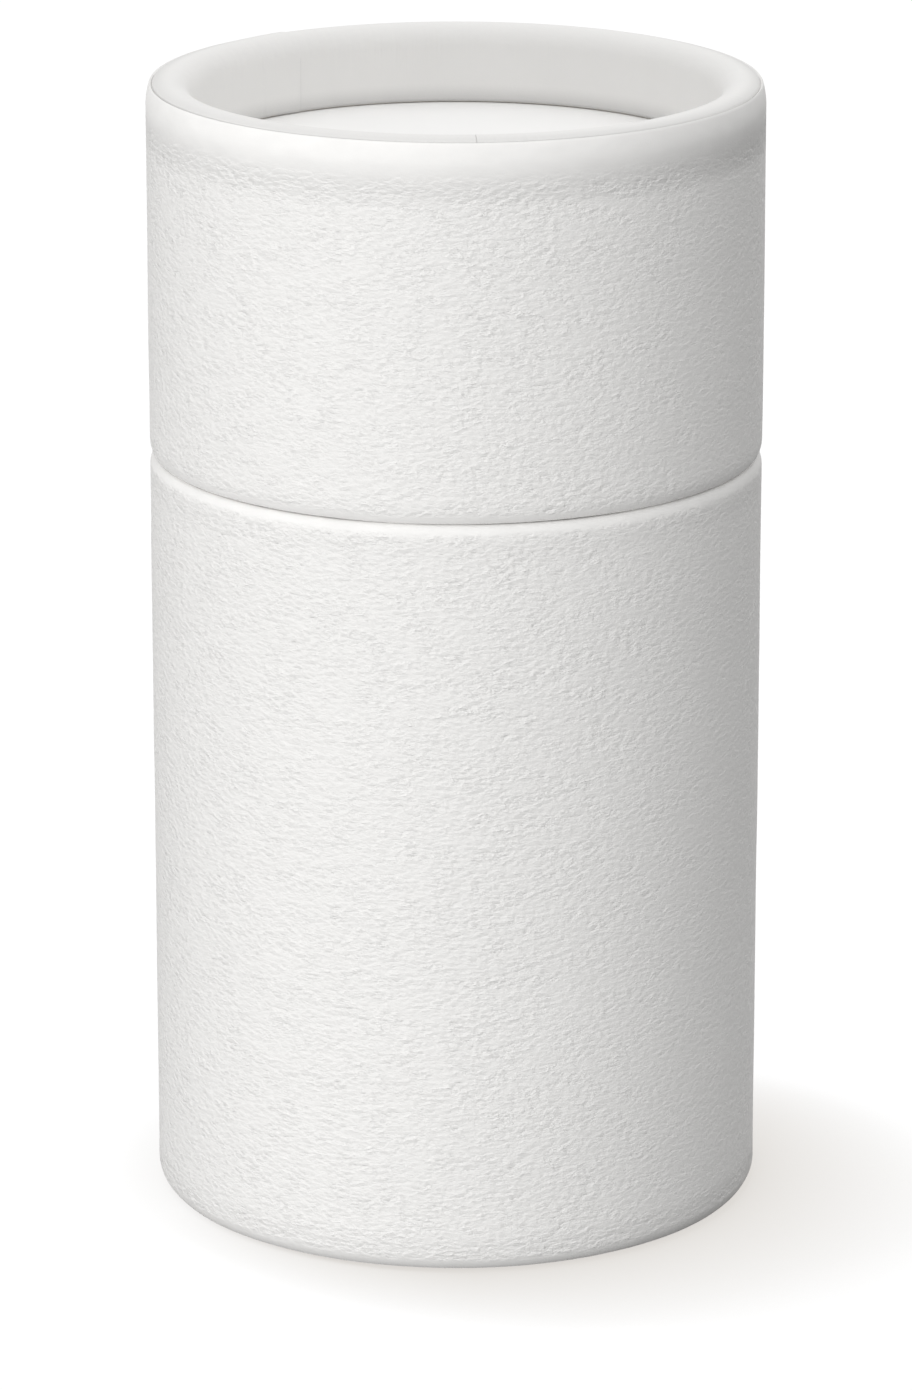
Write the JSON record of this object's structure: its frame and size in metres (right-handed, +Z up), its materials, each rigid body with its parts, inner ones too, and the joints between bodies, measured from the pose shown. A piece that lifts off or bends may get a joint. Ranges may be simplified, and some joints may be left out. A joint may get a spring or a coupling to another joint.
{
  "type": "paperboard gift canister",
  "caption": "Tall round rigid paperboard canister with a rolled, recessed lift-off cap that slides over an inner neck tube; holds small gifts or dry goods.",
  "frame": {"origin": "middle of the ring that the canister stands on", "axes": "+Z up along the tubes' common axis, towards the cap"},
  "size_m": [0.065, 0.065, 0.1212],
  "materials": {
    "textured_wrap": "matt white paper with a felt grain",
    "smooth_paper_board": "board faced with smooth matt white paper",
    "inner_board": "plain white-faced board",
    "inner_paper": "plain white lining paper"
  },
  "bodies": {
    "canister": {"body_board_tube": "smooth_paper_board", "body_outer_wrap": "textured_wrap", "neck_tube": "inner_board", "base_disc": "smooth_paper_board", "floor_disc": "inner_paper"},
    "cap": {"cap_board_tube": "smooth_paper_board", "cap_outer_wrap": "textured_wrap", "cap_top_disc": "smooth_paper_board", "cap_lining_disc": "inner_paper", "cap_inner_lining": "inner_paper"}
  },
  "joints": [
    {"name": "cap_lift", "type": "slide", "parent": "canister", "child": "cap", "axis": [0, 0, 1], "range_m": [0, 0.08]}
  ]
}
